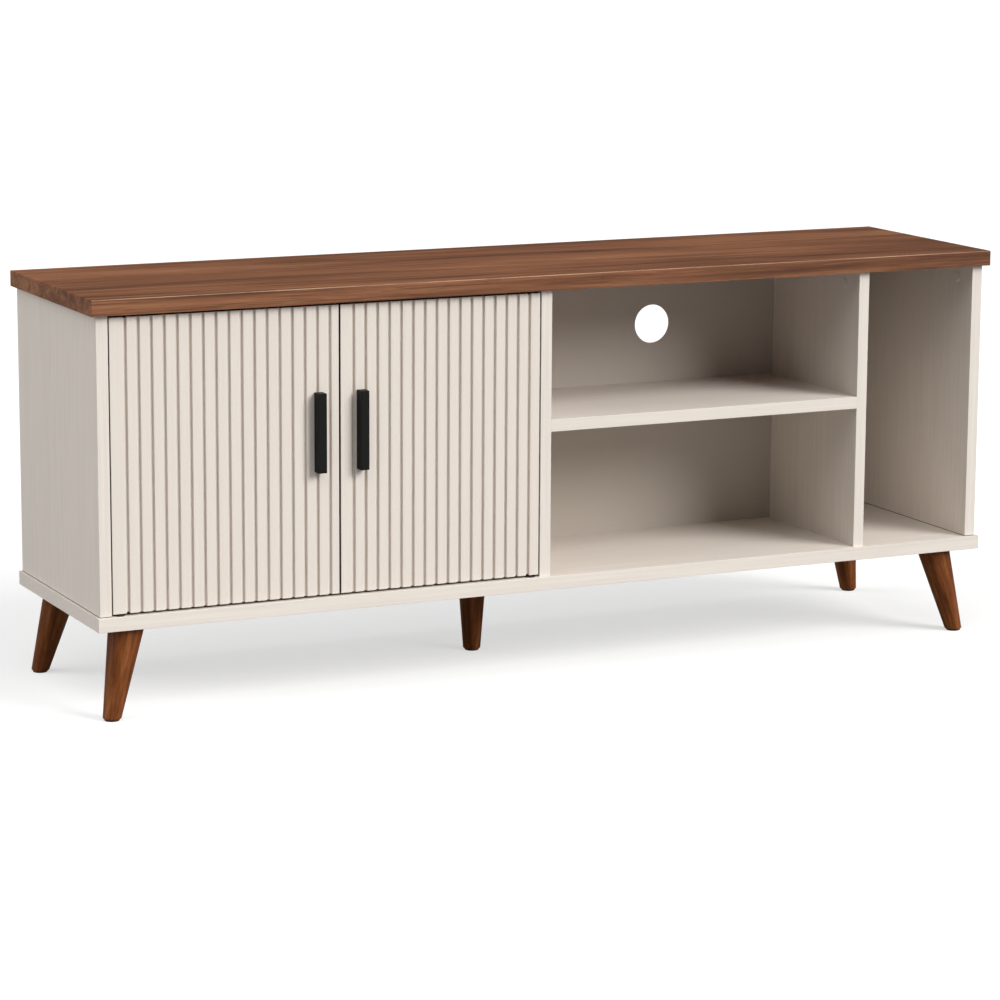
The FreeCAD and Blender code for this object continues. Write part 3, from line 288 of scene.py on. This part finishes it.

# Top board: one 25 mm slab faced and edged in walnut laminate, its grain along the length, held
# down on the uprights by cams and dowels. Its upper front edge is eased, and a thin, broken paler
# line is painted along it: partly the laminate's paler cut edge, partly a painted highlight.
walnut = Finish("walnut_laminate")
arris_width = 0.0011
figure = walnut.noise(walnut.place((1.3, 30, 30)), 6.0, 0.62, 1.1)
drift = walnut.noise(walnut.place((1.6, 7, 7), (3, 1, 2)), 2.0)
streak = walnut.noise(walnut.place((5, 260, 260)), 4.0, 0.62, 0.3)
dark_line = walnut.noise(walnut.place((1.8, 95, 95), (7, 2, 5)), 4.0, 0.6, 0.8)
short_line = walnut.noise(walnut.place((5, 190, 190), (1, 4, 8)), 3.0, 0.6, 0.6)
pore = walnut.noise(walnut.place((30, 1300, 1300)), 2.0)
wood = walnut.ramp(0.62 * figure + 0.38 * drift,
                   (0.34, (0.085, 0.031, 0.014)), (0.44, (0.158, 0.062, 0.029)),
                   (0.52, (0.228, 0.093, 0.044)), (0.64, (0.320, 0.140, 0.068)))
streak_colour = walnut.mix(walnut.span(streak, 0.34, 0.66),
                           tint(0.58, 0.55, 0.52), tint(1.24, 1.22, 1.2))
wood = walnut.mix(0.62, wood, streak_colour, "MULTIPLY")
wood = walnut.mix(0.75 * walnut.span(dark_line, 0.44, 0.30), wood, tint(0.075, 0.03, 0.015))
wood = walnut.mix(0.7 * walnut.span(short_line, 0.45, 0.30), wood, tint(0.07, 0.028, 0.014))
wood = walnut.mix(0.45 * walnut.span(short_line, 0.58, 0.72), wood, tint(0.36, 0.175, 0.085))
wood = walnut.mix(0.5 * walnut.span(pore, 0.44, 0.30), wood, tint(0.06, 0.023, 0.012))
top_low, top_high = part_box("top_board")
# Partly painted highlight, partly the paler cut edge: a thin broken pale line on the upper front
# arris.
arris_highlight_and_cut_edge = ((walnut.along("Z") > top_high.z - arris_width)
               * (walnut.along("Y") < top_low.y + arris_width))
arris_line_breaks = walnut.span(walnut.noise(walnut.place((9, 9, 9)), 3.0), 0.35, 0.6)
wood = walnut.mix(arris_highlight_and_cut_edge * (0.25 + 0.6 * arris_line_breaks), wood, tint(0.46, 0.29, 0.19))
coat(walnut.surface(Base_Color=wood, Roughness=0.48 + 0.14 * streak, Specular_IOR_Level=0.2,
                    Normal=walnut.bump(streak + 0.5 * pore, 0.1, 0.0003)), "top_board")

# Doors: 18 mm fibreboard, fluted on the front and sprayed matt cream, turning on pins let into
# their ends. The four edges of each door are coloured near black as painted shade, which draws the
# thin dark line of the gap around it; the cream runs a little way onto the edges from front and
# back.
# Near-black colour of the painted shade on the door edges.
gap_shade_colour = tint(0.042, 0.032, 0.025)
gap_shade_reach = 0.0004
front_shade_margin = 0.0012
back_shade_margin = 0.0004
for side in ("left", "right"):
    paint = Finish(f"{side}_door_paint")
    low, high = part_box(f"{side}_door")
    spray = paint.noise(paint.place((420, 420, 420)), 3.0, 0.6)
    cloud = paint.noise(paint.place((3, 3, 1.5)))
    brushed_down = paint.noise(paint.place((520, 520, 6)), 3.0, 0.6)
    cream_paint = paint.mix(paint.span(0.5 * spray + 0.5 * brushed_down, 0.36, 0.64),
                            shade_of(cream, 0.955), shade_of(cream, 1.03))
    cream_paint = paint.tinged(0.5 * cloud, cream_paint, tint(0.985, 0.97, 0.955))
    across, deep, up = paint.along("X"), paint.along("Y"), paint.along("Z")
    # Painted shade: the door's four edges go near black, standing for the shade in the gaps round
    # it.
    between_shade_margins = (deep > low.y + front_shade_margin) * (deep < high.y - back_shade_margin)
    gap_shade_at_side = 1 - (across > low.x + gap_shade_reach) * (across < high.x - gap_shade_reach)
    gap_shade_at_end = 1 - (up > low.z + gap_shade_reach) * (up < high.z - gap_shade_reach)
    painted_gap_shade = between_shade_margins * paint.reckon("MAXIMUM", gap_shade_at_side, gap_shade_at_end)
    coat(paint.surface(Base_Color=paint.mix(painted_gap_shade, cream_paint, gap_shade_colour),
                       Roughness=0.52 + 0.08 * spray, Specular_IOR_Level=0.3,
                       Normal=paint.bump(spray, 0.05, 0.0001)), f"{side}_door")

# Handles: square black metal bars, powder coated to a fine grit. Each is held by two screws that
# come through the door from inside.
powder = Finish("black_powder_coat")
grit = powder.noise(powder.place((1600, 1600, 1600)), 2.0)
coat(powder.surface(Base_Color=powder.mix(grit, tint(0.004, 0.004, 0.004),
                                          tint(0.008, 0.008, 0.007)),
                    Roughness=0.5 + 0.12 * grit, Specular_IOR_Level=0.16,
                    Normal=powder.bump(grit, 0.15, 0.0001)), "left_handle", "right_handle")

# Legs: turned beech, tapered, stained walnut brown under a thin satin lacquer and bolted up into
# the bottom board. The corner legs are splayed and the grain follows each one's slant. The top
# 30 mm of each leg is coloured darker, as painted shade under the bottom board.
foot_radius = 0.0145
crown_radius = 0.0284
top_shade_length = 0.03
for leg in ("front_left_leg", "front_right_leg", "back_left_leg", "back_right_leg", "centre_leg"):
    low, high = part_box(leg)
    splay_across = splay_along = 0
    if leg != "centre_leg":
        splay_across = high.x - low.x - foot_radius - crown_radius
        splay_along = high.y - low.y - foot_radius - crown_radius
    if "left" not in leg:
        splay_across = -splay_across
    if "front" not in leg:
        splay_along = -splay_along
    leg_rise = high.z - low.z
    stained = Finish(f"{leg}_stain")
    up = stained.along("Z")
    drop = high.z - up
    straightened = stained.add("ShaderNodeCombineXYZ", {}, {
        "X": stained.along("X") + (splay_across / leg_rise) * drop,
        "Y": stained.along("Y") + (splay_along / leg_rise) * drop, "Z": up})
    leg_grain = stained.noise(stained.stretched(straightened, (150, 150, 4)), 5.0, 0.55, 0.15)
    broad = stained.noise(stained.stretched(straightened, (38, 38, 2)))
    line = stained.noise(stained.stretched(straightened, (620, 620, 9)), 3.0, 0.6)
    stain_and_top_shade = stained.ramp(0.45 * leg_grain + 0.35 * broad + 0.2 * line,
                         (0.38, (0.088, 0.025, 0.006)), (0.5, (0.172, 0.052, 0.013)),
                         (0.62, (0.30, 0.104, 0.031)))
    # Painted shade: darker towards the top of the leg, under the bottom board.
    stain_and_top_shade = stained.tinged(0.6 * stained.span(drop, top_shade_length, 0.0), stain_and_top_shade,
                           tint(0.55, 0.5, 0.45))
    coat(stained.surface(Base_Color=stain_and_top_shade, Roughness=0.4 + 0.12 * line,
                         Specular_IOR_Level=0.14, Normal=stained.bump(line, 0.08, 0.0002)), leg)

# Screws, bolts, inserts and shelf pins: turned and rolled steel, bright zinc plated, with the
# cloudy bloom that such plating has. They are driven or pushed into their drilled holes.
zinc = Finish("zinc_plate")
bloom = zinc.noise(zinc.place((60, 60, 400)), 3.0)
spangle = zinc.noise(zinc.place((700, 700, 700)), 2.0)
coat(zinc.surface(Base_Color=zinc.mix(bloom, tint(0.52, 0.53, 0.55), tint(0.70, 0.70, 0.70)),
                  Metallic=1.0, Roughness=0.24 + 0.16 * bloom,
                  Normal=zinc.bump(spangle, 0.08, 0.0001)),
     "cam_bolts", "long_screws", "back_screws", "shelf_pins", "leg_bolts", "leg_inserts",
     "left_handle_screws", "right_handle_screws", "left_pivot_screws", "right_pivot_screws",
     "catch_screw", "left_strike_screw", "right_strike_screw")

# Pivot plates: steel with a riveted pin, zinc plated and then blacked so that none of it shows in
# the gaps round a door. Each is let into the door's end and held by screws.
blacked = Finish("blacked_zinc")
worn_black = blacked.noise(blacked.place((500, 500, 500)), 3.0, 0.6)
coat(blacked.surface(Base_Color=blacked.mix(worn_black, tint(0.012, 0.012, 0.014),
                                            tint(0.030, 0.030, 0.033)),
                     Metallic=0.7, Roughness=0.45 + 0.15 * worn_black,
                     Normal=blacked.bump(worn_black, 0.1, 0.0001)),
     "left_pivot_plates", "right_pivot_plates")

# Cam locks: zinc alloy, die cast and left dull and slightly rough. They are pressed into holes
# bored in the boards, and each turns to draw in the head of its bolt.
cast = Finish("die_cast_zinc")
grainy = cast.noise(cast.place((900, 900, 900)), 3.0, 0.6)
coat(cast.surface(Base_Color=cast.mix(grainy, tint(0.26, 0.26, 0.27), tint(0.40, 0.40, 0.41)),
                  Metallic=0.9, Roughness=0.5 + 0.15 * grainy,
                  Normal=cast.bump(grainy, 0.2, 0.0002)), "cam_locks")

# Strike plates: pressed mild steel, nickel plated and faintly brushed. One is screwed inside each
# door, where it meets the catch.
nickel = Finish("nickel_plate")
brushed = nickel.noise(nickel.place((60, 60, 2600)), 3.0, 0.6)
coat(nickel.surface(Base_Color=nickel.mix(brushed, tint(0.55, 0.53, 0.50), tint(0.66, 0.64, 0.60)),
                    Metallic=1.0, Roughness=0.26 + 0.16 * brushed,
                    Normal=nickel.bump(brushed, 0.1, 0.0001)),
     "left_strike_plate", "right_strike_plate")

# Magnets: two pieces of pressed ferrite, dark grey and matt. They are pushed into the front of the
# catch, one for each door.
ferrite = Finish("ferrite")
pressed = ferrite.noise(ferrite.place((1200, 1200, 1200)), 3.0, 0.6)
coat(ferrite.surface(Base_Color=ferrite.mix(pressed, tint(0.018, 0.018, 0.02),
                                            tint(0.045, 0.045, 0.048)),
                     Roughness=0.62 + 0.14 * pressed, Normal=ferrite.bump(pressed, 0.2, 0.0001)),
     "catch_magnets")

# Catch case: moulded white nylon with a soft sheen and a fine spark-eroded skin, screwed up under
# the top. Pivot bushes: the same nylon in dark grey, so that their rims don't show in the gaps.
nylon = Finish("white_nylon")
skin = nylon.noise(nylon.place((1500, 1500, 1500)), 2.0)
flow = nylon.noise(nylon.place((90, 90, 90)), 2.0)
coat(nylon.surface(Base_Color=nylon.mix(flow, tint(0.62, 0.60, 0.55), tint(0.70, 0.68, 0.63)),
                   Roughness=0.42 + 0.14 * skin, Normal=nylon.bump(skin, 0.12, 0.0001)),
     "door_catch")
grey_nylon = Finish("dark_nylon")
grey_flow = grey_nylon.noise(grey_nylon.place((90, 90, 90)), 2.0)
coat(grey_nylon.surface(Base_Color=grey_nylon.mix(grey_flow, tint(0.030, 0.029, 0.027),
                                                  tint(0.050, 0.048, 0.045)),
                        Roughness=0.45 + 0.12 * grey_flow), "pivot_bushes")

# Cam covers and screw caps: thin discs of moulded cream plastic, matched to the boards. They are
# pressed on over the cams and over the heads of the long screws.
capping = Finish("cream_plastic")
swirl = capping.noise(capping.place((160, 160, 160)), 2.0)
matt = capping.noise(capping.place((1500, 1500, 1500)), 2.0)
coat(capping.surface(Base_Color=capping.mix(swirl, shade_of(cream, 0.95), shade_of(cream, 1.0)),
                     Roughness=0.4 + 0.12 * matt, Specular_IOR_Level=0.35,
                     Normal=capping.bump(matt, 0.1, 0.0001)), "cam_covers", "screw_caps")

# Dowels: ribbed beech pegs, glued in where the boards meet. They stay hidden once the stand is
# put together.
beech = Finish("beech")
ribs = beech.noise(beech.place((500, 500, 30)), 4.0, 0.6)
coat(beech.surface(Base_Color=beech.mix(ribs, tint(0.42, 0.25, 0.13), tint(0.60, 0.40, 0.23)),
                   Roughness=0.6 + 0.1 * ribs, Normal=beech.bump(ribs, 0.15, 0.0002)), "dowels")

# Glides: round buttons of brown plastic nailed under the legs. They are scuffed paler where they
# rub on the floor.
glide = Finish("brown_plastic")
scuff = glide.noise(glide.place((300, 300, 300)), 4.0, 0.65)
coat(glide.surface(Base_Color=glide.mix(glide.span(scuff, 0.4, 0.7), tint(0.045, 0.024, 0.014),
                                        tint(0.10, 0.065, 0.045)),
                   Roughness=0.45 + 0.2 * scuff, Normal=glide.bump(scuff, 0.1, 0.0001)),
     "leg_glides")
